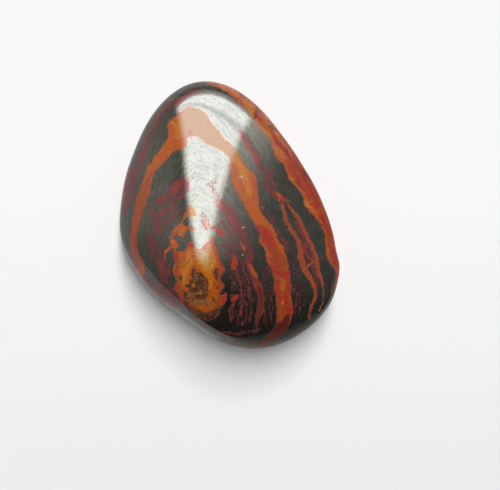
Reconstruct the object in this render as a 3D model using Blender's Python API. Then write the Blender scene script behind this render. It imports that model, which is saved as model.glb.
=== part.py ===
"""A polished free-form cabochon of banded ironstone, in one solid piece.

The stone lies on its back with +Z up and the origin under the middle of its box. Seen from above,
its outline is broad below the middle and narrows to a blunt tip at +Y. A low dome rises from a
rounded edge and its summit stands left of the middle. The back curves in under the edge to a small
flat spot. On the right a shallow chip has been polished over, with one crisp side and a shoulder.
Lengths are millimetres and angles degrees until the mesh is finished.
"""

import bmesh
import bpy
import numpy as np

MM = 0.001

# The outline: from the middle of the plan to the girdle, every fifteen degrees from +X towards +Y
HEIGHT = 7.0
GIRDLE_RADII = (
    8.45, 7.9, 7.7, 7.95, 8.65, 9.95,
    11.45, 12.2, 11.7, 10.8, 10.1, 9.85,
    9.9, 10.2, 10.25, 10.4, 10.6, 11.3,
    12.35, 12.85, 12.7, 12.2, 10.95, 9.5,
)
SHOULDER_BULGE = 0.26
SHOULDER_ANGLE = 331.8
SHOULDER_WIDTH = 4.3
SHOULDER_REACH = 12

# The dome: an ellipse about the summit that turns into the outline on its way down
SUMMIT = (-3.2, -2.8)
CORE_HALF_LENGTH = 13.4
CORE_HALF_WIDTH = 7.65
CORE_TURN = 92.0
DOME_FULLNESS = 1.22

# The edge: the girdle's height and how far the back curves in under it, both larger at one side
GIRDLE_HEIGHT = 3.3
GIRDLE_RISE = 0.2
GIRDLE_RISE_ANGLE = 250.0
UNDERCUT = 4.0
UNDERCUT_GAIN = 0.8
UNDERCUT_GAIN_ANGLE = 225.0

# The chip: a hollow that starts at a straight crease and fades to the far side
CHIP_CORNER = (9.2, -5.9)
CREASE_ANGLE = 145.0
CREASE_LENGTH = 2.2
CHIP_DEPTH = 0.16
CHIP_WIDTH = 1.3
CHIP_FACING = 10.0
CHIP_DIP = 35.0
CHIP_FLOOR = 1.2

# The mesh: a ball made from a gridded cube. Its top share becomes the dome and its bottom share the flat spot
CELLS = 26
DOME_SHARE = 0.55
REST_SHARE = 0.2


def girdle_radius(angle):
    """The radius at each angle, on the smooth closed wave through GIRDLE_RADII, with the shoulder left out."""
    count = len(GIRDLE_RADII)
    waves = np.fft.rfft(GIRDLE_RADII) / count
    order = np.arange(len(waves))
    pairs = np.where((order == 0) | (order == count / 2), 1, 2)
    return (pairs * waves * np.exp(1j * np.outer(angle, order))).real.sum(axis=1)


def shoulder(angle):
    """How far the shoulder below the chip stands out at each angle."""
    away = (np.degrees(angle) - SHOULDER_ANGLE + 180) % 360 - 180
    return SHOULDER_BULGE * np.exp(-((away / SHOULDER_WIDTH) ** 2))


def core_radius(angle):
    """The radius of the ellipse that the dome starts from at its summit."""
    turned = angle - np.radians(CORE_TURN)
    return 1 / np.hypot(np.cos(turned) / CORE_HALF_LENGTH, np.sin(turned) / CORE_HALF_WIDTH)


def one_sided(middle, gain, gain_angle, angle):
    """A value that is larger at gain_angle than opposite it."""
    return middle + gain * np.cos(angle - np.radians(gain_angle))


def stone_surface(angle, along):
    """Points on the stone before the chip. Along is 0 at the summit, 1 at the girdle, 2 where the flat
    spot starts and 3 at its middle."""
    climb = np.clip(along, 0, 1) * np.pi / 2
    tuck = np.clip(along - 1, 0, 1) * np.pi / 2
    out = np.sin(climb)
    near = 1 - out**2
    radius = out * (near * core_radius(angle) + out**2 * girdle_radius(angle))
    radius += shoulder(angle) * out**SHOULDER_REACH
    radius -= one_sided(UNDERCUT, UNDERCUT_GAIN, UNDERCUT_GAIN_ANGLE, angle) * (1 - np.cos(tuck))
    radius *= np.clip(3 - along, 0, 1)
    girdle = one_sided(GIRDLE_HEIGHT, GIRDLE_RISE, GIRDLE_RISE_ANGLE, angle)
    dome = GIRDLE_HEIGHT + (HEIGHT - GIRDLE_HEIGHT) * np.cos(climb) ** DOME_FULLNESS
    dome += out**3 * (girdle - GIRDLE_HEIGHT)
    x = SUMMIT[0] * near + radius * np.cos(angle)
    y = SUMMIT[1] * near + radius * np.sin(angle)
    z = np.where(along > 1, girdle * (1 - np.sin(tuck)), dome)
    return np.stack([x, y, z], axis=1)


def chipped(points):
    """The points pressed in by the chip. The flat spot stays flat."""
    crease = np.radians(CREASE_ANGLE)
    offset = points[:, :2] - CHIP_CORNER
    across = np.clip(offset @ (np.sin(crease), -np.cos(crease)), 0, None) / CHIP_WIDTH
    beyond = np.clip(offset @ (np.cos(crease), np.sin(crease)), 0, None) / CREASE_LENGTH
    depth = CHIP_DEPTH * across * np.exp(1 - across - beyond**2)
    depth *= np.clip(points[:, 2] / CHIP_FLOOR, 0, 1) ** 2
    facing = np.radians(CHIP_FACING)
    dip = np.radians(CHIP_DIP)
    inwards = -np.array([np.cos(facing) * np.cos(dip), np.sin(facing) * np.cos(dip), np.sin(dip)])
    return points + np.outer(depth, inwards)


def stone_mesh(mesh):
    """Fills the mesh: a gridded cube is blown up to a ball, and each of its points goes to its place on the stone."""
    ball = bmesh.new()
    bmesh.ops.create_cube(ball, size=2)
    bmesh.ops.subdivide_edges(ball, edges=ball.edges, cuts=CELLS - 1, use_grid_fill=True)
    where = np.tan(np.array([vertex.co for vertex in ball.verts]) * np.pi / 4)
    angle = np.arctan2(where[:, 1], where[:, 0])
    down = np.arctan2(np.hypot(where[:, 0], where[:, 1]), where[:, 2]) / np.pi
    along = np.interp(down, (0, DOME_SHARE, 1 - REST_SHARE, 1), (0, 1, 2, 3))
    points = chipped(stone_surface(angle, along))
    low = points.min(axis=0)
    high = points.max(axis=0)
    points -= [(low[0] + high[0]) / 2, (low[1] + high[1]) / 2, low[2]]
    for vertex, point in zip(ball.verts, points):
        vertex.co = point * MM
    bmesh.ops.triangulate(ball, faces=ball.faces)
    bmesh.ops.recalc_face_normals(ball, faces=ball.faces)
    ball.to_mesh(mesh)
    ball.free()
    mesh.shade_smooth()


def stone_material():
    """Dark ironstone with a high polish."""
    material = bpy.data.materials.new("polished_ironstone")
    material.use_nodes = True
    shader = material.node_tree.nodes["Principled BSDF"]
    shader.inputs["Base Color"].default_value = (0.16, 0.09, 0.06, 1)
    shader.inputs["Roughness"].default_value = 0.18
    shader.inputs["Metallic"].default_value = 0.35
    return material


def main():
    for old in list(bpy.data.objects):
        bpy.data.objects.remove(old, do_unlink=True)
    collection = bpy.data.collections.new("mugglestone")
    bpy.context.scene.collection.children.link(collection)
    mesh = bpy.data.meshes.new("banded_stone")
    stone_mesh(mesh)
    mesh.materials.append(stone_material())
    collection.objects.link(bpy.data.objects.new("banded_stone", mesh))


main()
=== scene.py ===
"""A polished, banded ironstone cabochon on pale paper beside a bright window.

The stone is one mesh with the same form as its solid, only finer. Its bands are colour alone: each
one follows guide points, which are given where they show in the photograph and carried straight
through the stone, so that the layers go on round the edge and underneath. Lengths are millimetres
and angles degrees, unless a name says pixels, and become metres at the end.
"""

import bmesh
import bpy
import numpy as np
from mathutils import Matrix, Vector, noise


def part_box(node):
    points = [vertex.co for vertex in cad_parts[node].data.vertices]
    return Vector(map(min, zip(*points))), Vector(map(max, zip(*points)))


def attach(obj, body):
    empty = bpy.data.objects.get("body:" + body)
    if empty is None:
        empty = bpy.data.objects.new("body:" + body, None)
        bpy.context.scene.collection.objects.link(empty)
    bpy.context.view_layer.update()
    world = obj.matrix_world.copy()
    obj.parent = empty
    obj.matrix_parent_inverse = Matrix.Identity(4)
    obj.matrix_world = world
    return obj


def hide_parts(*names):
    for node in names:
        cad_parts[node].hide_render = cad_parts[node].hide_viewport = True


MM = 0.001
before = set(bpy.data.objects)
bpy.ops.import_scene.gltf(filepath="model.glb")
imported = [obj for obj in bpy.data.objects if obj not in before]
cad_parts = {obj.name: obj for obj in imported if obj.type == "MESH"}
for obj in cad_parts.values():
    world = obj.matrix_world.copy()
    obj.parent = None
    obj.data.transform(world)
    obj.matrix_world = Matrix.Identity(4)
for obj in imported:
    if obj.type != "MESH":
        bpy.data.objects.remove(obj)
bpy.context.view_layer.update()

# The form, as in the solid
HEIGHT = 7.0
GIRDLE_RADII = (
    8.45, 7.9, 7.7, 7.95, 8.65, 9.95,
    11.45, 12.2, 11.7, 10.8, 10.1, 9.85,
    9.9, 10.2, 10.25, 10.4, 10.6, 11.3,
    12.35, 12.85, 12.7, 12.2, 10.95, 9.5,
)
SHOULDER_BULGE = 0.26
SHOULDER_ANGLE = 331.8
SHOULDER_WIDTH = 4.3
SHOULDER_REACH = 12
SUMMIT = (-3.2, -2.8)
CORE_HALF_LENGTH = 13.4
CORE_HALF_WIDTH = 7.65
CORE_TURN = 92.0
DOME_FULLNESS = 1.22
GIRDLE_HEIGHT = 3.3
GIRDLE_RISE = 0.2
GIRDLE_RISE_ANGLE = 250.0
UNDERCUT = 4.0
UNDERCUT_GAIN = 0.8
UNDERCUT_GAIN_ANGLE = 225.0
CHIP_CORNER = (9.2, -5.9)
CREASE_ANGLE = 145.0
CREASE_LENGTH = 2.2
CHIP_DEPTH = 0.16
CHIP_WIDTH = 1.3
CHIP_FACING = 10.0
CHIP_DIP = 35.0
CHIP_FLOOR = 1.2

# The fine mesh: cells along each side of the cube that it starts from, and how many go to the dome
CELLS = 120
DOME_SHARE = 0.62
REST_SHARE = 0.14

# The camera, in the form's own plan before it is centred on its box
IMAGE_WIDTH = 500
IMAGE_HEIGHT = 490
FOCAL_PIXELS = 981.26
SENSOR_WIDTH = 36.0
CAMERA_PLACE = np.array([-7.736, -18.590, 88.878])
CAMERA_AIM = np.array([1.912, -2.778, 0.0])
CAMERA_RIGHT = np.array([0.99432, -0.02421, 0.10363])

# Colours, as linear red, green and blue. Those of the ironstone are what it mirrors
ORANGE = (0.365, 0.070, 0.003)
RUSSET = (0.27, 0.045, 0.009)
AMBER = (0.43, 0.125, 0.003)
TAN = (0.210, 0.080, 0.024)
BROWN = (0.072, 0.028, 0.011)
RED = (0.31, 0.022, 0.012)
DEEP_RED = (0.085, 0.012, 0.006)
PALE_SPECK = (0.62, 0.55, 0.48)
PORE_BROWN = (0.028, 0.011, 0.009)
IRON_DARK = (0.090, 0.087, 0.078)
IRON_LIGHT = (0.116, 0.113, 0.101)
IRON_STAINED = (0.146, 0.078, 0.076)
RUST_MAROON = (0.125, 0.018, 0.020)
RUST_RED = (0.240, 0.027, 0.017)
FRINGE_RED = (0.140, 0.018, 0.012)
# partly the jasper's own ochre, partly painted to warm the window's highlight over the arch
OCHRE_AND_HIGHLIGHT_TINT = (0.350, 0.130, 0.006)
HONEY = (0.400, 0.170, 0.006)

# Closed bands: points round each one, in photograph pixels
MAIN_ARCH = (
    (153, 295), (146, 286), (141, 277), (137, 269), (134, 260), (131, 250), (130, 238), (131, 226),
    (134, 212), (137, 198), (142, 184), (146, 170),
    (152, 161), (159, 151), (164, 143), (169, 136), (168, 129), (168, 123), (173, 118), (180, 112),
    (190, 107), (200, 110), (206, 115), (211, 122), (217, 129), (224, 137), (232, 145), (237, 152),
    (243, 161), (250, 170), (256, 178), (258, 190), (259, 202), (261, 210), (266, 219), (273, 226),
    (276, 233), (280, 242), (284, 249), (287, 260), (290, 272), (291, 286), (292, 300), (293, 310),
    (291, 321), (287, 330), (280, 337), (270, 343), (258, 346), (250, 346), (262, 340),
    (269, 334), (275, 326), (277, 315), (276, 300), (274, 285), (272, 270), (267, 260), (265, 250),
    (260, 242), (259, 233), (254, 223), (248, 214), (244, 205), (239, 196), (234, 188), (231, 177),
    (230, 162), (226, 154), (218, 149), (208, 145), (201, 138), (194, 136), (187, 138), (185, 147),
    (176, 151), (169, 156), (165, 162), (158, 167), (153, 176), (151, 190), (147, 200), (143, 212),
    (139, 224), (137, 236), (138, 246), (140, 254), (143, 262), (145, 270), (146, 278), (149, 285),
    (156, 295),
)
OUTER_BAND = (
    (203, 70), (206, 83), (216, 86), (227, 92), (237, 101), (247, 111), (255, 121), (262, 131),
    (270, 140), (273, 150), (278, 160), (284, 165), (288, 174), (289, 180), (297, 188), (302, 196),
    (306, 207), (313, 215), (320, 224), (325, 236), (326, 252), (329, 262), (335, 270), (336, 283),
    (335, 297), (352, 300), (356, 250), (345, 205), (322, 160), (290, 110), (250, 72),
)
CORE = (
    (212, 237), (209, 241), (205, 245), (200, 248), (195, 249), (193, 243), (189, 243), (186, 248),
    (183, 252), (177, 251), (174, 256), (175, 263), (172, 270), (176, 280), (175, 289), (180, 298),
    (186, 307), (196, 317), (207, 321), (217, 316), (222, 308), (227, 299), (226, 293), (220, 295),
    (224, 285), (221, 278), (224, 271), (221, 261), (218, 252), (215, 243),
)

# Hollows of dark rock inside the core. Streaks like these are points with a half width, in pixels
POCKETS = (
    ((217, 270, 1.6), (216, 275, 2.2), (217, 280, 1.2)),
    ((216, 285, 0.9), (217, 289, 0.9)),
    ((186, 285, 0.8), (189, 287, 1.0)),
    ((180, 276, 1.0), (181, 280, 0.9)),
    ((192, 266, 0.6), (193, 270, 0.8)),
)

# Thin seams of jasper in the dark rock
SEAMS = (
    ((275, 191, 0.3), (281, 197, 0.7), (290, 207, 1.0), (296, 215, 1.5), (301, 223, 1.9), (305, 232, 2.0),
     (310, 242, 2.0), (315, 253, 2.2), (317, 264, 2.0), (320, 276, 1.7), (323, 287, 1.2), (323, 298, 0.8),
     (320, 310, 0.6)),
    ((278, 197, 0.5), (282, 206, 1.2), (285, 216, 1.7), (290, 228, 1.9), (296, 238, 2.1), (300, 248, 2.5),
     (302, 260, 3.0), (306, 271, 2.8), (311, 280, 2.3), (315, 289, 2.0), (315, 298, 1.7), (311, 307, 1.4),
     (309, 318, 0.9)),
    ((303, 270, 1.0), (308, 266, 1.6), (314, 261, 1.2)),
    ((191, 206, 0.8), (187, 213, 1.4), (184, 219, 1.0), (180, 224, 1.2), (176, 229, 1.5), (172, 234, 1.4)),
    ((188, 208, 1.0), (189, 213, 2.2), (187, 217, 1.0)),
    ((174, 235, 1.2), (178, 230, 1.4), (182, 226, 2.0)),
    ((181, 226, 2.6), (183, 229, 4.2), (182, 233, 3.6)),
    ((189, 228, 1.4), (193, 229, 2.0)),
    ((193, 209, 1.6), (194, 214, 2.6)),
    ((204, 219, 1.0), (205, 227, 1.2)),
    ((171, 237, 1.2), (173, 243, 3.4), (176, 246, 2.6), (170, 248, 1.6), (166, 252, 1.3), (165, 260, 0.6)),
    ((175, 249, 1.6), (177, 255, 1.8), (183, 256, 1.4)),
    ((211, 228, 0.8), (216, 227, 1.2), (219, 232, 2.6), (223, 235, 2.2), (226, 237, 0.8)),
    ((233, 256, 1.4), (234, 262, 2.8), (233, 268, 2.6)),
    ((231, 301, 0.8), (235, 298, 2.6), (238, 297, 1.2)),
    ((234, 304, 0.8), (232, 309, 1.4), (233, 316, 0.8)),
    ((241, 243, 0.8), (244, 248, 1.6), (246, 252, 0.6)),
    ((249, 263, 0.8), (252, 270, 1.4), (256, 277, 1.2)),
    ((257, 283, 1.0), (260, 292, 1.6), (262, 303, 1.4), (260, 313, 1.2), (257, 324, 0.6)),
    ((146, 279, 1.0), (152, 289, 0.9), (160, 299, 0.8), (175, 312, 0.6)),
    ((222, 333, 0.3), (236, 334, 0.6), (250, 332, 0.5), (262, 331, 0.3)),
    ((338, 264, 1.6), (340, 274, 1.8), (339, 288, 1.5), (334, 302, 1.1), (324, 316, 0.9), (311, 328, 0.6)),
)

# Streaks of other colours in the jasper, laid over each other in this order
TONES = (
    # Ochre over the arch top where the window's highlight falls: partly the jasper's own tone, partly painted
    # to warm that highlight
    ("ochre_and_highlight_tint", OCHRE_AND_HIGHLIGHT_TINT, (
        ((181, 134, 4.0), (187, 122, 10.0), (203, 124, 14.0), (216, 138, 11.0), (228, 150, 9.0),
         (236, 160, 4.0)),
    )),
    ("russet", RUSSET, (
        ((267, 246, 2.0), (275, 252, 6.0), (278, 262, 8.0), (282, 275, 9.0), (285, 300, 9.0), (284, 325, 9.0)),
        ((152, 170, 1.0), (146, 186, 3.0), (140, 205, 5.0), (135, 225, 5.0), (134, 245, 6.0), (138, 262, 6.0)),
        ((295, 215, 3.0), (305, 235, 5.0), (312, 255, 5.0), (318, 280, 5.0), (320, 300, 5.0)),
        ((284, 212, 3.0), (292, 230, 4.0), (301, 250, 5.0), (305, 270, 5.0), (314, 290, 5.0), (310, 312, 4.0)),
        ((176, 255, 2.0), (178, 262, 1.6), (176, 275, 2.4), (178, 290, 3.0), (186, 303, 4.0), (200, 315, 4.0)),
        ((215, 242, 1.0), (218, 256, 1.4), (222, 270, 2.4), (221, 284, 3.0), (223, 297, 5.0), (217, 310, 4.0)),
        ((294, 160, 3.0), (302, 172, 4.0), (312, 190, 5.0), (322, 212, 4.0), (331, 240, 3.0), (337, 268, 5.0)),
    )),
    ("brown", BROWN, (
        ((194, 273, 3.0), (198, 279, 7.0), (200, 286, 9.0), (199, 293, 9.0), (195, 298, 6.0), (188, 297, 3.0)),
        ((185, 303, 2.0), (192, 311, 3.0), (203, 316, 4.0), (214, 314, 4.0), (221, 308, 2.0)),
        ((191, 280, 1.2), (192, 290, 2.6), (196, 297, 3.0)),
        ((183, 290, 1.2), (187, 297, 2.6)),
        ((213, 298, 1.2), (215, 302, 2.0)),
        ((181, 275, 1.0), (182, 280, 1.6)),
    )),
    ("tan", TAN, (
        ((196, 272, 1.0), (197, 278, 1.3), (194, 282, 0.6)),
        ((188, 297, 1.0), (192, 294, 1.6), (198, 293, 1.2), (205, 293, 1.8)),
        ((193, 296, 0.8), (191, 301, 1.0)),
        ((188, 300, 1.2), (195, 302, 2.6), (204, 303, 3.2), (211, 304, 2.0), (216, 305, 0.6)),
        ((203, 279, 0.4), (206, 284, 0.5), (203, 288, 0.4)),
    )),
    ("amber", AMBER, (
        ((212, 85, 2.0), (226, 88, 2.4), (238, 95, 2.4)),
        ((243, 100, 2.0), (249, 105, 4.2), (252, 112, 3.0)),
        ((262, 128, 1.2), (267, 132, 2.0), (271, 138, 0.8)),
        ((275, 148, 0.8), (281, 153, 2.0), (284, 157, 1.4)),
        ((290, 177, 0.8), (294, 183, 1.2), (299, 190, 0.6)),
        ((305, 200, 1.0), (309, 207, 2.2), (312, 212, 1.4)),
        ((173, 122, 1.5), (177, 130, 2.5), (177, 140, 1.5)),
        ((236, 160, 2.5), (243, 171, 4.0), (247, 184, 3.0), (250, 196, 1.5)),
        ((282, 280, 1.4), (283, 286, 2.4), (282, 291, 1.2)),
        ((283, 300, 0.4), (282, 305, 0.6)),
        ((282, 313, 0.2), (282, 323, 0.4)),
        ((188, 252, 1.6), (189, 259, 3.6), (188, 266, 3.6), (184, 274, 3.0), (184, 282, 2.0)),
        ((210, 243, 1.2), (211, 254, 3.6), (212, 263, 4.2), (208, 271, 4.0), (211, 280, 1.8), (210, 289, 1.2)),
        ((198, 250, 4.0), (202, 262, 6.0)),
        ((193, 285, 0.8), (194, 287, 1.0)),
        ((186, 212, 0.6), (189, 214, 0.8)),
        ((183, 229, 0.4), (173, 243, 0.8)),
    )),
    ("honey", HONEY, (
        ((199, 251, 4.0), (203, 257, 6.0), (206, 264, 5.0), (204, 270, 2.0)),
        ((212, 260, 1.0), (212, 268, 1.6)),
        ((188, 262, 0.6), (189, 266, 1.0)),
        ((193, 209, 2.4), (194, 214, 3.6)),
        ((204, 219, 2.0), (205, 227, 2.2)),
    )),
    ("red", RED, (
        ((259, 227, 2.5), (266, 235, 5.6), (271, 244, 4.6), (267, 249, 1.0)),
        ((275, 271, 1.8), (282, 274, 3.0), (289, 274, 2.0)),
        ((277, 280, 0.8), (277, 292, 1.6), (283, 296, 2.8), (288, 297, 1.0)),
        ((288, 279, 0.8), (289, 290, 1.4)),
        ((287, 302, 1.2), (288, 312, 2.2), (287, 324, 2.4)),
        ((243, 187, 0.4), (246, 188, 0.6)),
        ((254, 180, 0.2), (256, 187, 0.6)),
        ((271, 130, 0.4), (275, 137, 1.2), (279, 144, 2.4), (285, 150, 2.2), (290, 157, 1.6)),
        ((287, 160, 1.2), (291, 168, 2.4), (297, 177, 2.6), (301, 185, 2.2), (306, 192, 2.8), (310, 198, 1.6)),
        ((314, 203, 0.8), (318, 211, 2.0), (322, 220, 1.4)),
        ((297, 160, 0.6), (305, 171, 1.2), (313, 186, 1.2), (319, 201, 1.2)),
        ((329, 226, 0.8), (333, 240, 1.8), (334, 251, 1.8), (336, 263, 1.6), (338, 280, 3.0)),
        ((188, 245, 1.6), (192, 246, 2.0)),
        ((176, 254, 2.4), (175, 260, 1.2)),
        ((214, 228, 1.5), (220, 233, 2.8), (225, 236, 1.0)),
        ((217, 250, 0.6), (220, 260, 0.6), (223, 272, 1.0)),
        ((226, 296, 2.0), (223, 303, 1.2)),
        ((233, 256, 1.6), (234, 262, 2.6), (233, 268, 2.4)),
        ((231, 301, 1.2), (235, 298, 2.6), (238, 297, 1.2)),
        ((303, 229, 0.0), (307, 238, 0.4)),
        ((299, 246, 0.2), (303, 256, 0.6)),
        ((313, 286, 0.4), (316, 294, 1.0)),
    )),
    ("deep", DEEP_RED, (
        ((289, 314, 1.0), (285, 324, 5.0), (279, 332, 10.0), (270, 339, 11.0), (256, 346, 10.0)),
        ((138, 238, 1.2), (140, 248, 2.0), (142, 256, 1.6)),
        ((235, 304, 0.6), (232, 312, 4.0), (230, 321, 4.0)),
        ((258, 283, 1.0), (261, 300, 2.0), (258, 322, 4.0)),
        ((222, 333, 5.0), (262, 331, 5.0)),
        ((146, 279, 5.0), (160, 299, 5.0), (175, 312, 5.0)),
        ((257, 106, 0.4), (257, 112, 1.2), (253, 119, 0.8)),
        ((239, 94, 0.2), (243, 97, 0.8)),
        ((265, 123, 0.1), (271, 127, 0.7), (277, 130, 0.2)),
        ((286, 149, 0.6), (288, 156, 0.8)),
        ((303, 169, 0.2), (307, 177, 0.9), (312, 184, 0.3)),
        ((298, 180, 0.4), (299, 184, 0.4)),
        ((196, 317, 1.0), (207, 320, 2.4), (217, 316, 1.6)),
    )),
    # Small pale specks, in the colour only, not metal
    ("pale_specks", PALE_SPECK, (
        ((239, 177, 0.3), (242, 177, 0.4)),
        ((262, 208, 0.3), (264, 208, 0.5)),
        ((242, 227, 0.5), (244, 227, 0.7)),
        ((243, 214, 0.2), (244, 214, 0.2)),
        ((171, 99, 0.5), (173, 99, 0.6)),
        ((242, 255, 0.1), (243, 255, 0.1)),
        ((295, 290, 0.0), (296, 289, 0.0)),
    )),
)

# Patches of dark rock that rust has got into: strength, then points as above
RUSTED = (
    (0.55, ((217, 268, 3.0), (217, 280, 3.0))),
    (0.95, ((172, 189, 2.5), (177, 185, 4.5), (184, 183, 4.0), (187, 189, 1.5))),
    (0.90, ((158, 202, 2.5), (164, 200, 4.0), (171, 195, 2.0), (178, 190, 1.5))),
    (0.85, ((160, 216, 1.6), (164, 212, 2.0), (170, 208, 1.4), (176, 203, 0.8))),
    (0.80, ((174, 201, 1.2), (180, 196, 1.6), (185, 192, 1.2))),
    (0.60, ((153, 212, 3.0), (156, 222, 4.0), (159, 231, 4.0))),
    (0.50, ((150, 236, 3.0), (155, 250, 6.0), (161, 262, 6.0), (168, 274, 4.0))),
    (0.45, ((165, 224, 4.0), (172, 216, 4.0), (178, 209, 2.0))),
    (0.80, ((165, 258, 1.4), (162, 266, 2.0), (163, 273, 2.6), (166, 282, 2.0))),
    (0.80, ((234, 303, 1.6), (231, 310, 2.6), (232, 317, 2.2), (230, 321, 1.0))),
    (0.50, ((162, 283, 4.0), (168, 290, 5.0), (178, 304, 3.0))),
    (0.62, ((221, 202, 2.5), (229, 212, 4.5), (235, 222, 4.5), (242, 235, 5.0), (247, 248, 4.5),
            (250, 262, 4.0))),
    (0.85, ((229, 219, 1.6), (234, 226, 2.2), (238, 232, 1.4))),
    (0.95, ((249, 254, 1.2), (250, 266, 2.6), (254, 277, 3.0), (258, 287, 3.4), (261, 297, 3.0),
            (261, 308, 2.8), (258, 318, 2.0), (256, 326, 1.0))),
    (0.44, ((226, 244, 3.0), (232, 256, 6.0), (238, 275, 9.0), (242, 295, 11.0), (242, 316, 9.0))),
    (0.72, ((241, 262, 0.8), (246, 275, 1.2), (250, 290, 1.2), (251, 306, 1.0), (249, 320, 0.8))),
    (0.70, ((236, 272, 1.0), (240, 285, 1.2), (242, 300, 1.2), (241, 316, 1.0))),
    (0.55, ((222, 222, 1.4), (230, 234, 1.6), (236, 246, 1.6))),
    (0.90, ((241, 132, 1.4), (245, 139, 2.4), (250, 147, 2.4), (256, 156, 2.4), (259, 164, 2.2),
            (261, 170, 1.0))),
    (0.90, ((268, 170, 0.8), (265, 175, 1.1), (265, 181, 1.2), (267, 187, 1.4), (271, 188, 1.0))),
    (0.85, ((269, 171, 0.8), (271, 178, 1.2), (274, 186, 1.4))),
    (0.90, ((271, 191, 1.6), (277, 196, 2.4), (282, 201, 2.0))),
    (0.80, ((281, 194, 1.0), (286, 201, 1.4), (291, 208, 1.2))),
    (0.80, ((269, 217, 0.8), (272, 218, 1.3), (273, 225, 1.0))),
    (0.75, ((277, 230, 1.0), (282, 237, 1.8), (286, 245, 1.8), (288, 252, 0.8))),
    (0.60, ((262, 203, 0.8), (263, 210, 1.0))),
    (0.65, ((297, 222, 2.0), (303, 236, 3.0), (308, 252, 3.4), (314, 268, 2.6), (318, 284, 1.8))),
    (0.55, ((293, 288, 1.2), (296, 300, 1.6), (294, 314, 1.6))),
    (0.36, ((270, 262, 4.0), (266, 280, 4.0), (269, 300, 5.0), (267, 320, 5.0))),
    (0.33, ((291, 262, 4.0), (296, 282, 4.0), (300, 304, 6.0))),
    (0.75, ((176, 104, 1.2), (182, 98, 1.6), (190, 93, 1.0))),
    (0.70, ((193, 91, 1.4), (196, 91, 1.8), (199, 92, 1.0))),
    (0.55, ((173, 101, 1.6), (166, 107, 2.6), (160, 114, 2.8), (156, 122, 3.0), (153, 130, 2.6))),
    (0.60, ((151, 132, 1.6), (148, 139, 2.8), (145, 147, 3.0), (142, 155, 3.0), (140, 163, 2.4))),
    (0.55, ((137, 168, 2.4), (134, 180, 2.6), (132, 192, 2.4), (131, 204, 1.6))),
    (0.50, ((130, 168, 2.4), (127, 184, 3.0), (125, 200, 3.0), (124, 214, 2.4))),
    (0.60, ((222, 332, 1.2), (236, 334, 1.6), (250, 332, 1.4), (261, 328, 1.0))),
    (0.45, ((150, 283, 4.0), (160, 294, 4.0), (172, 306, 4.0))),
    (0.20, ((222, 345, 4.0), (246, 346, 5.0), (262, 344, 4.0))),
)

# Where the rust is only fine specks in clean rock
SPECKLED = (
    ((214, 168, 0.8), (217, 176, 2.0), (212, 184, 3.4), (207, 184, 1.5)),
    ((213, 188, 2.5), (216, 196, 3.8), (217, 203, 3.0), (221, 210, 2.6), (227, 215, 1.8)),
    ((187, 179, 1.6), (196, 177, 1.6), (203, 179, 1.0)),
    ((192, 164, 0.8), (199, 164, 0.8)),
    ((203, 215, 4.0), (206, 226, 5.0)),
)

# A dull layer of the dark rock
DULL = (
    ((180, 108, 1.0), (190, 105, 1.6), (203, 106, 2.0), (215, 111, 3.0), (225, 117, 3.4), (234, 123, 3.8),
     (240, 130, 4.0), (247, 139, 3.4), (255, 152, 3.0), (262, 168, 2.0)),
)

# Where the edge has lost its polish
WORN = (
    ((208, 338, 2.0), (222, 343, 5.0), (240, 345, 7.5), (262, 343, 9.0), (284, 338, 8.0), (300, 330, 6.0),
     (316, 316, 3.0)),
    ((336, 266, 1.5), (336, 280, 3.0), (332, 292, 2.0)),
)

# Where the rim stays smooth but mirrors less: painted shade, standing in for darker surroundings on that side
RIM_SHADE = (
    ((222, 82, 1.5), (240, 90, 2.5), (262, 108, 3.0), (284, 136, 3.5), (302, 168, 4.0), (318, 200, 4.0),
     (329, 230, 4.0), (336, 256, 3.5), (340, 275, 2.0)),
)

# Where the jasper itself is layered and mottled
MOTTLED = (
    ((208, 82, 3.0), (250, 104, 8.0), (280, 142, 8.0), (304, 182, 10.0), (324, 226, 8.0), (334, 262, 8.0)),
    ((256, 226, 4.0), (270, 244, 8.0), (280, 275, 9.0), (286, 310, 9.0), (278, 335, 9.0)),
)

# What streaks change besides the colour, and over how many pixels
SURFACES = (
    ("speckled", SPECKLED, 2.6),
    ("dull", DULL, 3.0),
    ("worn", WORN, 5.0),
    ("rim_shade", RIM_SHADE, 3.0),
    ("mottled", MOTTLED, 6.0),
)

# Arches that the fine layers run along, from the core outwards, each with its place in the stack
ARCHES = (
    (0.0, ((176, 330), (170, 300), (166, 270), (175, 240), (196, 222), (216, 230), (229, 255),
           (236, 285), (236, 330))),
    (3.4, ((141, 262), (143, 225), (151, 190), (168, 158), (190, 137), (208, 145), (228, 158),
           (236, 190), (254, 223), (266, 252), (274, 290), (272, 330))),
    (4.6, ((130, 262), (132, 218), (141, 186), (155, 157), (168, 126), (190, 107), (212, 122),
           (236, 150), (257, 182), (264, 215), (286, 255), (292, 300), (288, 335))),
    (7.0, ((112, 262), (118, 205), (134, 155), (155, 112), (182, 88), (214, 85), (244, 106),
           (270, 141), (290, 182), (320, 224), (328, 262), (334, 300), (324, 340))),
)
LAYER_PITCH = 14.0

# How far the layers lean over by the time they reach the underside, how far from a streak it is still
# followed, and how much the layers waver over what length, all in pixels
LEAN = (26.0, 34.0)
STREAK_MARGIN = 8.0
WAVER = 1.1
WAVER_LENGTH = 7.0

# How strong the rust is away from its patches and beside the jasper, and how far beyond the jasper and
# its own patches it reaches and fades, in pixels
RUST_EVERYWHERE = 0.04
EDGE_RUST = 0.10
EDGE_RUST_REACH = 2.0
EDGE_RUST_FADE = 3.0
PATCH_REACH = 0.8
PATCH_FADE = 2.6

# How deep inside the core its pores set in, and over how many pixels
PORE_DEPTH = 2.0
PORE_FADE = 4.0


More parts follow.
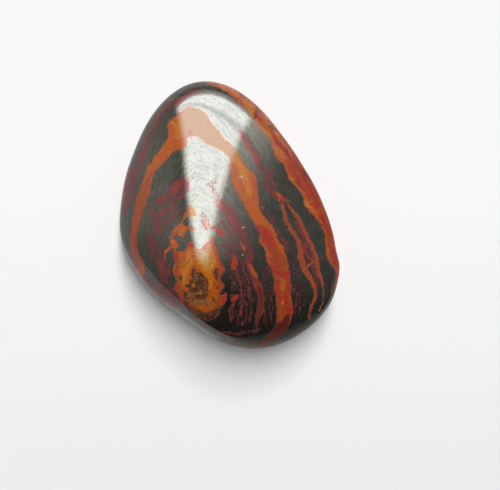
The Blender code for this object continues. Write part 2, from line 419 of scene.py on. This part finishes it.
def girdle_radius(angle):
    """The radius at each angle, on the smooth closed wave through GIRDLE_RADII."""
    count = len(GIRDLE_RADII)
    waves = np.fft.rfft(GIRDLE_RADII) / count
    order = np.arange(len(waves))
    pairs = np.where((order == 0) | (order == count / 2), 1, 2)
    return (pairs * waves * np.exp(1j * np.outer(angle, order))).real.sum(axis=1)


def shoulder(angle):
    """How far the shoulder below the chip stands out at each angle."""
    away = (np.degrees(angle) - SHOULDER_ANGLE + 180) % 360 - 180
    return SHOULDER_BULGE * np.exp(-((away / SHOULDER_WIDTH) ** 2))


def core_radius(angle):
    """The radius of the ellipse that the dome starts from at its summit."""
    turned = angle - np.radians(CORE_TURN)
    return 1 / np.hypot(np.cos(turned) / CORE_HALF_LENGTH, np.sin(turned) / CORE_HALF_WIDTH)


def one_sided(middle, gain, gain_angle, angle):
    """A value that is larger at gain_angle than opposite it."""
    return middle + gain * np.cos(angle - np.radians(gain_angle))


def stone_surface(angle, along):
    """Points on the stone before the chip. Along is 0 at the summit, 1 at the girdle, 2 where the
    flat spot starts and 3 at its middle."""
    climb = np.clip(along, 0, 1) * np.pi / 2
    tuck = np.clip(along - 1, 0, 1) * np.pi / 2
    out = np.sin(climb)
    near = 1 - out**2
    radius = out * (near * core_radius(angle) + out**2 * girdle_radius(angle))
    radius += shoulder(angle) * out**SHOULDER_REACH
    radius -= one_sided(UNDERCUT, UNDERCUT_GAIN, UNDERCUT_GAIN_ANGLE, angle) * (1 - np.cos(tuck))
    radius *= np.clip(3 - along, 0, 1)
    girdle = one_sided(GIRDLE_HEIGHT, GIRDLE_RISE, GIRDLE_RISE_ANGLE, angle)
    dome = GIRDLE_HEIGHT + (HEIGHT - GIRDLE_HEIGHT) * np.cos(climb) ** DOME_FULLNESS
    dome += out**3 * (girdle - GIRDLE_HEIGHT)
    x = SUMMIT[0] * near + radius * np.cos(angle)
    y = SUMMIT[1] * near + radius * np.sin(angle)
    z = np.where(along > 1, girdle * (1 - np.sin(tuck)), dome)
    return np.stack([x, y, z], axis=1)


def chipped(points):
    """The points pressed in by the chip. The flat spot stays flat."""
    crease = np.radians(CREASE_ANGLE)
    offset = points[:, :2] - CHIP_CORNER
    across = np.clip(offset @ (np.sin(crease), -np.cos(crease)), 0, None) / CHIP_WIDTH
    beyond = np.clip(offset @ (np.cos(crease), np.sin(crease)), 0, None) / CREASE_LENGTH
    depth = CHIP_DEPTH * across * np.exp(1 - across - beyond**2)
    depth *= np.clip(points[:, 2] / CHIP_FLOOR, 0, 1) ** 2
    facing = np.radians(CHIP_FACING)
    dip = np.radians(CHIP_DIP)
    inwards = -np.array([np.cos(facing) * np.cos(dip), np.sin(facing) * np.cos(dip), np.sin(dip)])
    return points + np.outer(depth, inwards)


def stone_mesh():
    """The fine mesh, centred on its box and fitted to the solid's, with its points in the form's own plan."""
    ball = bmesh.new()
    bmesh.ops.create_cube(ball, size=2)
    bmesh.ops.subdivide_edges(ball, edges=ball.edges, cuts=CELLS - 1, use_grid_fill=True)
    where = np.tan(np.array([vertex.co for vertex in ball.verts]) * np.pi / 4)
    angle = np.arctan2(where[:, 1], where[:, 0])
    down = np.arctan2(np.hypot(where[:, 0], where[:, 1]), where[:, 2]) / np.pi
    along = np.interp(down, (0, DOME_SHARE, 1 - REST_SHARE, 1), (0, 1, 2, 3))
    points = chipped(stone_surface(angle, along))
    low = points.min(axis=0)
    high = points.max(axis=0)
    middle = np.array([(low[0] + high[0]) / 2, (low[1] + high[1]) / 2, low[2]])
    solid_low, solid_high = (np.array(corner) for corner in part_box("banded_stone"))
    fit = (solid_high - solid_low) / (high - low)
    for vertex, point in zip(ball.verts, (points - middle) * fit):
        vertex.co = point
    bmesh.ops.triangulate(ball, faces=ball.faces)
    bmesh.ops.recalc_face_normals(ball, faces=ball.faces)
    mesh = bpy.data.meshes.new("polished_stone")
    ball.to_mesh(mesh)
    ball.free()
    mesh.shade_smooth()
    return mesh, points, middle


def camera_axes():
    """The camera's right, up and back directions."""
    back = CAMERA_PLACE - CAMERA_AIM
    back /= np.linalg.norm(back)
    up = np.cross(back, CAMERA_RIGHT)
    up /= np.linalg.norm(up)
    return np.cross(up, back), up, back


def photograph_place(points):
    """Where each point shows in the photograph, in pixels from its top left corner."""
    right, up, back = camera_axes()
    offset = points - CAMERA_PLACE
    reach = FOCAL_PIXELS / -(offset @ back)
    x = IMAGE_WIDTH / 2 + reach * (offset @ right)
    y = IMAGE_HEIGHT / 2 - reach * (offset @ up)
    return np.stack([x, y], axis=1)


def smooth_line(points, closed=False, steps=6):
    """A smooth curve through the points, as short straight stretches."""
    points = np.array(points, float)
    if closed:
        padded = np.vstack([points[-1:], points, points[:2]])
    else:
        padded = np.vstack([2 * points[:1] - points[1:2], points, 2 * points[-1:] - points[-2:-1]])
    part = (np.arange(steps) / steps)[:, None]
    stretches = []
    for before, start, end, after in zip(padded, padded[1:], padded[2:], padded[3:]):
        bend = 2 * start + (end - before) * part
        bend = bend + (2 * before - 5 * start + 4 * end - after) * part**2
        bend = bend + (3 * start - before - 3 * end + after) * part**3
        stretches.append(bend / 2)
    if not closed:
        stretches.append(points[-1:])
    return np.vstack(stretches)


def nearest(places, line, closed=False):
    """For each place, its distance to the line, how far along it the nearest point lies, and its side."""
    ends = np.roll(line, -1, axis=0) if closed else line[1:]
    starts = line if closed else line[:-1]
    best = np.full(len(places), np.inf)
    along = np.zeros(len(places))
    side = np.ones(len(places))
    for index, (start, end) in enumerate(zip(starts[:, :2], ends[:, :2])):
        step = end - start
        offset = places - start
        share = np.clip(offset @ step / (step @ step), 0, 1)
        gap = offset - share[:, None] * step
        distance = gap[:, 0] ** 2 + gap[:, 1] ** 2
        closer = distance < best
        best[closer] = distance[closer]
        along[closer] = index + share[closer]
        turn = step[0] * offset[:, 1] - step[1] * offset[:, 0]
        side[closer] = np.sign(turn[closer])
    return np.sqrt(best), along, side


def inside_outline(places, points):
    """How far inside a closed band each place lies, in pixels, and below 0 outside it."""
    line = smooth_line(points, closed=True)
    distance = nearest(places, line, closed=True)[0]
    within = np.zeros(len(places), bool)
    for start, end in zip(line, np.roll(line, -1, axis=0)):
        crosses = (start[1] > places[:, 1]) != (end[1] > places[:, 1])
        rise = end[1] - start[1]
        if rise != 0:
            crossing = start[0] + (places[:, 1] - start[1]) * (end[0] - start[0]) / rise
            within ^= crosses & (places[:, 0] < crossing)
    return np.where(within, distance, -distance)


def inside_streak(places, points):
    """How far inside a streak each place lies, in pixels, and below 0 outside it."""
    line = smooth_line(points)
    inside = np.full(len(places), -STREAK_MARGIN)
    reach = STREAK_MARGIN + line[:, 2].max()
    close = (places > line[:, :2].min(axis=0) - reach).all(axis=1)
    close &= (places < line[:, :2].max(axis=0) + reach).all(axis=1)
    if close.any():
        distance, along, _ = nearest(places[close], line)
        width = np.interp(along, np.arange(len(line)), line[:, 2])
        inside[close] = np.maximum(width - distance, -STREAK_MARGIN)
    return inside


def layer_place(places):
    """Each place's height in the stack of fine layers, which share out the room between two arches."""
    height = np.zeros(len(places))
    last_level = 0.0
    last_beyond = np.full(len(places), -1.0)
    for level, points in ARCHES:
        distance, _, side = nearest(places, smooth_line(points, steps=3))
        beyond = -side * distance
        share = last_beyond / np.maximum(last_beyond - beyond, 0.1)
        between = last_level + (level - last_level) * share
        outside = level + beyond / LAYER_PITCH
        height = np.where(beyond > 0, outside, np.where(last_beyond > 0, between, height))
        last_level = level
        last_beyond = beyond
    return height


def wavered(places):
    """The places moved a little to and fro, so that the bands don't run as smoothly as their guides."""
    shifts = [noise.noise_vector((x / WAVER_LENGTH, y / WAVER_LENGTH, 0.0)) for x, y in places]
    return places + WAVER * np.array(shifts)[:, :2]


def inside_any(places, streaks):
    """How far inside the nearest of some streaks each place lies, in pixels, and below 0 outside them."""
    inside = np.full(len(places), -STREAK_MARGIN)
    for points in streaks:
        inside = np.maximum(inside, inside_streak(places, points))
    return inside


def strength(inside, softness):
    """From 0 outside to 1 inside, over this many pixels."""
    return np.clip(inside / softness + 0.5, 0, 1)


def markings(points, facing):
    """The pattern at every point of the mesh, as named values that the material reads. Those of the
    colours and the jasper are pixels inside their streaks, and below 0 outside. Facing is 1 towards
    the camera and below 0 where a point faces away."""
    hidden = np.clip(-facing, 0, 1)[:, None]
    places = wavered(photograph_place(points) + hidden * LEAN)
    core = inside_outline(places, CORE)
    bands = np.maximum(inside_outline(places, MAIN_ARCH), inside_outline(places, OUTER_BAND))
    jasper = np.maximum(bands, core)
    jasper = np.minimum(jasper, -inside_any(places, POCKETS))
    jasper = np.maximum(jasper, inside_any(places, SEAMS))
    rust = np.full(len(places), RUST_EVERYWHERE)
    for share, streak in RUSTED:
        rust = np.maximum(rust, share * strength(inside_streak(places, streak) + PATCH_REACH, PATCH_FADE))
    rust = np.maximum(rust, EDGE_RUST * strength(jasper + EDGE_RUST_REACH, EDGE_RUST_FADE))
    values = {name: inside_any(places, streaks) for name, _, streaks in TONES}
    jasper = np.maximum(jasper, values["pale_specks"])
    values["jasper"] = np.clip(jasper, -STREAK_MARGIN, STREAK_MARGIN)
    values["pores"] = strength(core - PORE_DEPTH, PORE_FADE)
    values["rust"] = rust
    for name, streaks, softness in SURFACES:
        values[name] = strength(inside_any(places, streaks), softness)
    values["layer"] = layer_place(places)
    return values


def store(mesh, values):
    """Keeps the named values on the mesh's points."""
    for name, value in values.items():
        kept = mesh.attributes.new(name, "FLOAT", "POINT")
        kept.data.foreach_set("value", value.astype(np.float32))


class Nodes:
    """Short ways to add shader nodes to one tree."""

    def __init__(self, tree):
        self.tree = tree

    def add(self, kind, **settings):
        node = self.tree.nodes.new(kind)
        for name, value in settings.items():
            setattr(node, name, value)
        return node

    def feed(self, socket, value):
        if isinstance(value, bpy.types.NodeSocket):
            self.tree.links.new(value, socket)
        else:
            socket.default_value = value

    def attribute(self, name):
        return self.add("ShaderNodeAttribute", attribute_name=name).outputs["Fac"]

    def math(self, operation, first, second=0.0, third=0.0):
        node = self.add("ShaderNodeMath", operation=operation)
        for socket, value in zip(node.inputs, (first, second, third)):
            self.feed(socket, value)
        return node.outputs[0]

    def plane(self, terms, level):
        """The sum of some sockets times their shares, less the level."""
        total = -level
        for socket, share in terms:
            total = self.math("MULTIPLY_ADD", socket, share, total)
        return total

    def product(self, first, *others):
        for other in others:
            first = self.math("MULTIPLY", first, other)
        return first

    def step(self, value, low, high, bottom=0.0, top=1.0):
        """Goes smoothly from bottom at low to top at high."""
        node = self.add("ShaderNodeMapRange", interpolation_type="SMOOTHSTEP")
        for name, number in zip(("Value", "From Min", "From Max", "To Min", "To Max"),
                                (value, low, high, bottom, top)):
            self.feed(node.inputs[name], number)
        return node.outputs[0]

    def mix(self, share, first, second):
        """Numbers: first where share is 0 and second where it is 1."""
        node = self.add("ShaderNodeMix", data_type="FLOAT")
        for socket, value in zip((node.inputs[0], node.inputs[2], node.inputs[3]), (share, first, second)):
            self.feed(socket, value)
        return node.outputs[0]

    def mix_colour(self, share, first, second, blend="MIX"):
        node = self.add("ShaderNodeMix", data_type="RGBA", blend_type=blend)
        for socket, value in zip((node.inputs[0], node.inputs[6], node.inputs[7]), (share, first, second)):
            self.feed(socket, value if isinstance(value, (bpy.types.NodeSocket, float)) else (*value, 1))
        return node.outputs[2]

    def noise(self, place, scale, detail, roughness, layer=None):
        """Noise between about 0.2 and 0.8. With a layer it is drawn out along the layers."""
        node = self.add("ShaderNodeTexNoise", noise_dimensions="3D" if layer is None else "4D")
        self.feed(node.inputs["Vector"], place)
        if layer is not None:
            self.feed(node.inputs["W"], layer)
        self.feed(node.inputs["Scale"], scale)
        self.feed(node.inputs["Detail"], detail)
        self.feed(node.inputs["Roughness"], roughness)
        return node.outputs[0]

    def cells(self, place, scale):
        """The distance to the nearest of many scattered points, about one for each scaled unit."""
        node = self.add("ShaderNodeTexVoronoi", feature="F1")
        self.feed(node.inputs["Vector"], place)
        self.feed(node.inputs["Scale"], scale)
        return node.outputs["Distance"]

    def spread(self, value, amount):
        """Noise turned into a shift of up to about this amount either way."""
        return self.math("MULTIPLY", self.math("SUBTRACT", value, 0.5), amount * 3)


# The material: how far noise moves the edges of the bands, how soft they are, and how far inside them
# the red fringe ends and is full, in pixels
EDGE_WAVER = 1.2
EDGE_GRAIN = 1.3
EDGE_SOFTNESS = 0.8
TONE_SOFTNESS = 1.2
FRINGE_WIDTH = 1.6
FRINGE_FULL = 0.2

# The noises: scale, detail and roughness, and how fast those along the layers change across them
LAMINAE = (1.1, 3.0, 0.62, 7.0)
GRIT = (4.5, 2.0, 0.6, 2.5)
DRIFT = (0.7, 3.0, 0.55, 2.5)
WAVER_GRAIN = (1.6, 2.0, 0.5)
FINE_GRAIN = (6.0, 3.0, 0.6)
DOTS = (9.0, 2.0, 0.5)
CELL_SCALE = 3.2

# The dark rock. A step is the range of a noise over which something sets in, and the values that it
# goes between where they aren't 0 and 1
IRON_STEP = (0.35, 0.65)
STAIN_STEP = (0.35, 0.65, 2.0, 3.2)
STAIN_START = 0.2
SHADE_STEP = (0.30, 0.52, 0.74, 1.04)
DULLNESS = 0.72
STREAK_LAMINAE = 0.4
STREAK_GRIT = 0.35
STREAK_DOTS = 0.25
RUST_THRESHOLD = 0.65
RUST_GAIN = 0.21
SPECKLED_RUST = 0.65
RUST_START = -0.08
SPECKLED_START = -0.05
RUST_FULL = 0.06
REDDER_STEP = (0.48, 0.66)

# The jasper: the steps of its blotches, fringe, specks, pores, net and holes, and their strengths
BLOTCH_LAMINAE = 0.5
BLOTCH_WAVER = 0.5
RED_BLOTCH_STEP = (0.51, 0.58)
RED_BLOTCHES = 0.75
AMBER_BLOTCH_STEP = (0.46, 0.38)
AMBER_BLOTCHES = 0.30
FRINGE_STEP = (0.36, 0.60)
FRINGE = 0.42
SPECK_STEP = (0.55, 0.63)
SPECKS_PLAIN = 0.25
SPECKS_MOTTLED = 0.75
PORE_STEP = (0.60, 0.68)
PORES = 0.8
CELL_GRAIN = 0.5
TAN_EARTH = 0.7
NET_STEP = (0.82, 0.96)
NET = 0.3
HOLE_STEP = (0.62, 0.48)
HOLES = 0.75
TONE_STEP = (0.3, 0.7, 0.86, 1.14)

# The polish
ROCK_ROUGHNESS_STEP = (0.3, 0.7, 0.07, 0.12)
JASPER_ROUGHNESS = 0.09
WORN_ROUGHNESS = 0.45
STONE_IOR = 1.5
MIRRORING = 0.5
# How much the shaded rim mirrors: painted shade for darker surroundings on that side
RIM_SHADE_MIRRORING = 0.12
BUMP_STRENGTH = 0.25
BUMP_HEIGHT = 0.006


class Grain:
    """The noises that both kinds of rock share, by place in millimetres and by layer."""

    def __init__(self, nodes):
        scaled = nodes.add("ShaderNodeVectorMath", operation="SCALE")
        nodes.feed(scaled.inputs[0], nodes.add("ShaderNodeTexCoord").outputs["Object"])
        scaled.inputs["Scale"].default_value = 1 / MM
        here = scaled.outputs[0]
        layer = nodes.attribute("layer")

        def along_layers(scale, detail, roughness, across):
            return nodes.noise(here, scale, detail, roughness, layer=nodes.math("MULTIPLY", layer, across))

        self.laminae = along_layers(*LAMINAE)
        self.grit = along_layers(*GRIT)
        self.drift = along_layers(*DRIFT)
        self.waver = nodes.noise(here, *WAVER_GRAIN)
        self.grain = nodes.noise(here, *FINE_GRAIN)
        self.dots = nodes.noise(here, *DOTS)
        self.cells = nodes.cells(here, CELL_SCALE)
        self.fray = nodes.math("ADD", nodes.spread(self.waver, EDGE_WAVER),
                               nodes.spread(self.grain, EDGE_GRAIN))


def ironstone(nodes, grain):
    """The dark rock's colour, and how far it is rust rather than metal."""
    rusted = nodes.attribute("rust")
    speckled = nodes.attribute("speckled")
    iron = nodes.mix_colour(nodes.step(grain.laminae, *IRON_STEP), IRON_DARK, IRON_LIGHT)
    stain = nodes.math("MULTIPLY_ADD", rusted, nodes.step(grain.drift, *STAIN_STEP), -STAIN_START)
    stain = nodes.math("MINIMUM", stain, 1.0)
    iron = nodes.mix_colour(stain, iron, IRON_STAINED)
    clear = nodes.step(grain.grit, *SHADE_STEP)
    clear = nodes.product(clear, nodes.mix(nodes.attribute("dull"), 1.0, DULLNESS))
    iron = nodes.mix_colour(1.0, iron, clear, blend="MULTIPLY")
    ready = nodes.math("MAXIMUM", rusted, nodes.product(speckled, SPECKLED_RUST))
    threshold = nodes.math("MULTIPLY_ADD", ready, -RUST_GAIN, RUST_THRESHOLD)
    streaks = nodes.math("MULTIPLY_ADD", grain.laminae, STREAK_LAMINAE, nodes.product(grain.grit, STREAK_GRIT))
    streaks = nodes.math("MULTIPLY_ADD", grain.dots, STREAK_DOTS, streaks)
    start = nodes.mix(speckled, RUST_START, SPECKLED_START)
    rust = nodes.step(nodes.math("SUBTRACT", streaks, threshold), start, RUST_FULL)
    red = nodes.mix_colour(nodes.step(grain.drift, *REDDER_STEP), RUST_MAROON, RUST_RED)
    return nodes.mix_colour(rust, iron, red), rust


def jasper_tone(nodes, grain, edge):
    """The jasper's colour: orange, with streaks of its other colours, a red fringe and dark pores."""
    tone = ORANGE
    shares = {}
    for name, colour, _ in TONES:
        inside = nodes.math("ADD", nodes.attribute(name), grain.fray)
        shares[name] = nodes.step(inside, -TONE_SOFTNESS, TONE_SOFTNESS)
        tone = nodes.mix_colour(shares[name], tone, colour)
    mottled = nodes.product(nodes.attribute("mottled"), nodes.math("SUBTRACT", 1.0, shares["deep"]))
    blotch = nodes.product(grain.waver, BLOTCH_WAVER)
    blotch = nodes.math("MULTIPLY_ADD", grain.laminae, BLOTCH_LAMINAE, blotch)
    red = nodes.product(mottled, nodes.step(blotch, *RED_BLOTCH_STEP), RED_BLOTCHES)
    tone = nodes.mix_colour(red, tone, RED)
    amber = nodes.product(mottled, nodes.step(blotch, *AMBER_BLOTCH_STEP), AMBER_BLOTCHES)
    tone = nodes.mix_colour(amber, tone, AMBER)
    fringe = nodes.product(nodes.step(edge, FRINGE_WIDTH, FRINGE_FULL),
                           nodes.step(grain.laminae, *FRINGE_STEP), FRINGE)
    tone = nodes.mix_colour(fringe, tone, FRINGE_RED)
    specks = nodes.mix(mottled, SPECKS_PLAIN, SPECKS_MOTTLED)
    tone = nodes.mix_colour(nodes.product(specks, nodes.step(grain.dots, *SPECK_STEP)), tone, DEEP_RED)
    pores = nodes.product(nodes.attribute("pores"), nodes.step(grain.dots, *PORE_STEP), PORES)
    tone = nodes.mix_colour(pores, tone, PORE_BROWN)
    distorted = nodes.math("MULTIPLY_ADD", grain.grain, CELL_GRAIN, grain.cells)
    earthy = nodes.math("MAXIMUM", shares["brown"], nodes.product(shares["tan"], TAN_EARTH))
    net = nodes.product(earthy, nodes.step(distorted, *NET_STEP), NET)
    tone = nodes.mix_colour(net, tone, TAN)
    holes = nodes.product(earthy, nodes.step(distorted, *HOLE_STEP), HOLES)
    tone = nodes.mix_colour(holes, tone, PORE_BROWN)
    return nodes.mix_colour(1.0, tone, nodes.step(grain.grain, *TONE_STEP), blend="MULTIPLY")


def stone_material():
    """Jasper bands in dark, nearly metallic ironstone under one polish."""
    material = bpy.data.materials.new("banded_ironstone")
    material.use_nodes = True
    nodes = Nodes(material.node_tree)
    shader = material.node_tree.nodes["Principled BSDF"]
    grain = Grain(nodes)
    edge = nodes.math("ADD", nodes.attribute("jasper"), grain.fray)
    jasper = nodes.step(edge, -EDGE_SOFTNESS, EDGE_SOFTNESS)
    rock, rust = ironstone(nodes, grain)
    nodes.feed(shader.inputs["Base Color"], nodes.mix_colour(jasper, rock, jasper_tone(nodes, grain, edge)))
    dull = nodes.math("MAXIMUM", jasper, rust)
    nodes.feed(shader.inputs["Metallic"], nodes.math("SUBTRACT", 1.0, dull))
    polish = nodes.mix(jasper, nodes.step(grain.laminae, *ROCK_ROUGHNESS_STEP), JASPER_ROUGHNESS)
    nodes.feed(shader.inputs["Roughness"], nodes.mix(nodes.attribute("worn"), polish, WORN_ROUGHNESS))
    shader.inputs["IOR"].default_value = STONE_IOR
    # painted shade: the right rim mirrors less, standing in for darker surroundings there
    mirroring = nodes.mix(nodes.attribute("rim_shade"), MIRRORING, RIM_SHADE_MIRRORING)
    nodes.feed(shader.inputs["Specular IOR Level"], mirroring)

    bump = nodes.add("ShaderNodeBump")
    bump.inputs["Strength"].default_value = BUMP_STRENGTH
    bump.inputs["Distance"].default_value = BUMP_HEIGHT * MM
    nodes.feed(bump.inputs["Height"], nodes.math("ADD", grain.laminae, grain.grain))
    nodes.feed(shader.inputs["Normal"], bump.outputs[0])
    return material


def stone():
    """The polished stone, in place of its solid."""
    mesh, points, middle = stone_mesh()
    piece = bpy.data.objects.new("polished_stone", mesh)
    bpy.context.scene.collection.objects.link(piece)
    normals = np.zeros(len(mesh.vertices) * 3, np.float32)
    mesh.vertex_normals.foreach_get("vector", normals)
    sight = CAMERA_PLACE - points
    sight /= np.linalg.norm(sight, axis=1)[:, None]
    facing = (normals.reshape(-1, 3) * sight).sum(axis=1)
    store(mesh, markings(points, facing))
    mesh.materials.append(stone_material())
    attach(piece, "root")
    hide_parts("banded_stone")
    return middle


# The floor and the light. The floor carries painted shade: its colour goes from darker near to lighter far
# between two places in y, standing in for the window's light falling off. Directions are compass angles
# from +X towards +Y. The planes that bound the window are in x, y and z of the direction, and each step
# is the range over which an edge of the window or its glow fades
FLOOR_SIZE = 1500.0
FLOOR_NEAR_SHADED = (0.753, 0.759, 0.756)
FLOOR_FAR_LIT = (0.849, 0.856, 0.853)
FLOOR_SHADE_CHANGE = (-32.0, 10.0)
FLOOR_ROUGHNESS = 0.9
DAYLIGHT = 0.683
DAYLIGHT_COMPASS = 87.0
DAYLIGHT_HEIGHTS = (46.0, 59.0, 72.0, 85.0, 98.0)
DAYLIGHT_SPREAD = 13.0
SKYLIGHT = 0.4
SKYLIGHT_SPREAD = 175.0
WINDOW = 7.7
WINDOW_TINT = (0.94, 1.0, 1.03)
WINDOW_LEFT = ((1.0, 0.295, -0.226), -0.202)
WINDOW_RIGHT = ((1.0, -0.417, 0.109), 0.244)
WINDOW_FLARE = 0.19
WINDOW_LEFT_STEP = (-0.06, 0.06)
WINDOW_RIGHT_STEP = (0.04, -0.04)
SILL = 0.295
SILL_STEP = (SILL - 0.025, SILL + 0.025)
HEAD_STEP = (-0.04, 0.085)
GLOW_RIGHT_STEP = (0.32, 0.05)
GLOW_SILL_STEP = (0.10, SILL)
GLOW_HEAD_STEP = (-0.05, 0.25)
GLOW_STEP = (0.85, 0.60, 1.1, 2.0)
ROOM_TINT = (1.03, 1.02, 0.95)
BACKDROP = 0.94
SURROUNDINGS = (
    (-180, 0.60), (-150, 0.36), (-115, 0.10), (-50, 0.10), (-25, 0.15), (-8, 0.27), (25, 0.46),
    (60, 0.50), (118, 0.58), (145, 0.95), (165, 0.85), (180, 0.60),
)


def floor():
    """Plain pale paper, with painted shade: darker towards the front, where less of the window's light falls.
    """
    mesh = bpy.data.meshes.new("paper")
    half = FLOOR_SIZE / 2 * MM
    corners = [(-half, -half, 0), (half, -half, 0), (half, half, 0), (-half, half, 0)]
    mesh.from_pydata(corners, [], [(0, 1, 2, 3)])
    paper = bpy.data.objects.new("paper", mesh)
    bpy.context.scene.collection.objects.link(paper)
    material = bpy.data.materials.new("paper")
    material.use_nodes = True
    nodes = Nodes(material.node_tree)
    shader = material.node_tree.nodes["Principled BSDF"]
    split = nodes.add("ShaderNodeSeparateXYZ")
    nodes.feed(split.inputs[0], nodes.add("ShaderNodeTexCoord").outputs["Object"])
    near, far = (place * MM for place in FLOOR_SHADE_CHANGE)
    # painted shade: the paper's colour darkens from far to near
    change = nodes.step(split.outputs[1], near, far)
    nodes.feed(shader.inputs["Base Color"], nodes.mix_colour(change, FLOOR_NEAR_SHADED, FLOOR_FAR_LIT))
    shader.inputs["Roughness"].default_value = FLOOR_ROUGHNESS
    shader.inputs["Specular IOR Level"].default_value = 0.0
    mesh.materials.append(material)


def surroundings():
    """A tall soft window behind the stone, a dim room round it, and a plain backdrop for the camera."""
    world = bpy.data.worlds.new("room")
    bpy.context.scene.world = world
    world.use_nodes = True
    world.cycles_visibility.diffuse = False
    nodes = Nodes(world.node_tree)
    background = world.node_tree.nodes["Background"]
    split = nodes.add("ShaderNodeSeparateXYZ")
    nodes.feed(split.inputs[0], nodes.add("ShaderNodeTexCoord").outputs["Generated"])
    x, y, z = split.outputs

    left_edge = nodes.plane(zip((x, y, z), WINDOW_LEFT[0]), WINDOW_LEFT[1])
    right_edge = nodes.plane(zip((x, y, z), WINDOW_RIGHT[0]), WINDOW_RIGHT[1])
    right_edge = nodes.math("MULTIPLY_ADD", nodes.product(y, y, y, y), -WINDOW_FLARE, right_edge)
    left = nodes.step(left_edge, *WINDOW_LEFT_STEP)
    opening = nodes.product(left, nodes.step(right_edge, *WINDOW_RIGHT_STEP), nodes.step(z, *SILL_STEP),
                            nodes.step(y, *HEAD_STEP))
    glow = nodes.product(left, nodes.step(right_edge, *GLOW_RIGHT_STEP), nodes.step(z, *GLOW_SILL_STEP),
                         nodes.step(y, *GLOW_HEAD_STEP), nodes.step(z, *GLOW_STEP))

    compass = nodes.math("DIVIDE", nodes.math("ARCTAN2", y, x), 2 * np.pi)
    compass = nodes.math("ADD", compass, 0.5)
    ramp = nodes.add("ShaderNodeValToRGB")
    stops = ramp.color_ramp.elements
    for _ in SURROUNDINGS[2:]:
        stops.new(0.5)
    for stop, (angle, level) in zip(stops, SURROUNDINGS):
        stop.position = angle / 360 + 0.5
        stop.color = (level, level, level, 1)
    nodes.feed(ramp.inputs[0], compass)
    bright = nodes.math("MAXIMUM", nodes.math("MULTIPLY", opening, WINDOW), glow)
    room = nodes.math("ADD", ramp.outputs[0], bright)

    tint = nodes.mix_colour(opening, ROOM_TINT, WINDOW_TINT)
    seen = nodes.add("ShaderNodeLightPath").outputs["Is Camera Ray"]
    nodes.feed(background.inputs["Color"], nodes.mix_colour(seen, tint, (1.0, 1.0, 1.0)))
    nodes.feed(background.inputs["Strength"], nodes.mix(seen, room, BACKDROP))


def matt_light(strength, compass, height, spread):
    """Even light on everything matt. The window itself is only seen mirrored in the polish."""
    data = bpy.data.lights.new("daylight", "SUN")
    data.angle = np.radians(spread)
    data.energy = strength
    lamp = bpy.data.objects.new("daylight", data)
    compass = np.radians(compass)
    height = np.radians(height)
    towards = Vector((np.cos(compass) * np.cos(height), np.sin(compass) * np.cos(height), np.sin(height)))
    lamp.rotation_mode = "QUATERNION"
    lamp.rotation_quaternion = towards.to_track_quat("Z", "Y")
    lamp.visible_camera = False
    lamp.visible_glossy = False
    bpy.context.scene.collection.objects.link(lamp)


def camera(middle):
    """The camera, at the photograph's viewpoint."""
    right, up, back = camera_axes()
    data = bpy.data.cameras.new("camera")
    data.sensor_width = SENSOR_WIDTH
    data.sensor_fit = "HORIZONTAL"
    data.lens = FOCAL_PIXELS / IMAGE_WIDTH * SENSOR_WIDTH
    data.clip_start = 0.001
    data.clip_end = 10
    view = bpy.data.objects.new("camera", data)
    turn = Matrix((right, up, back)).transposed().to_4x4()
    view.matrix_world = Matrix.Translation(Vector((CAMERA_PLACE - middle) * MM)) @ turn
    bpy.context.scene.collection.objects.link(view)
    bpy.context.scene.camera = view


camera(stone())
floor()
surroundings()
for height in DAYLIGHT_HEIGHTS:
    matt_light(DAYLIGHT, DAYLIGHT_COMPASS, height, DAYLIGHT_SPREAD)
matt_light(SKYLIGHT, 0, 90, SKYLIGHT_SPREAD)
bpy.context.scene.view_settings.view_transform = "Standard"
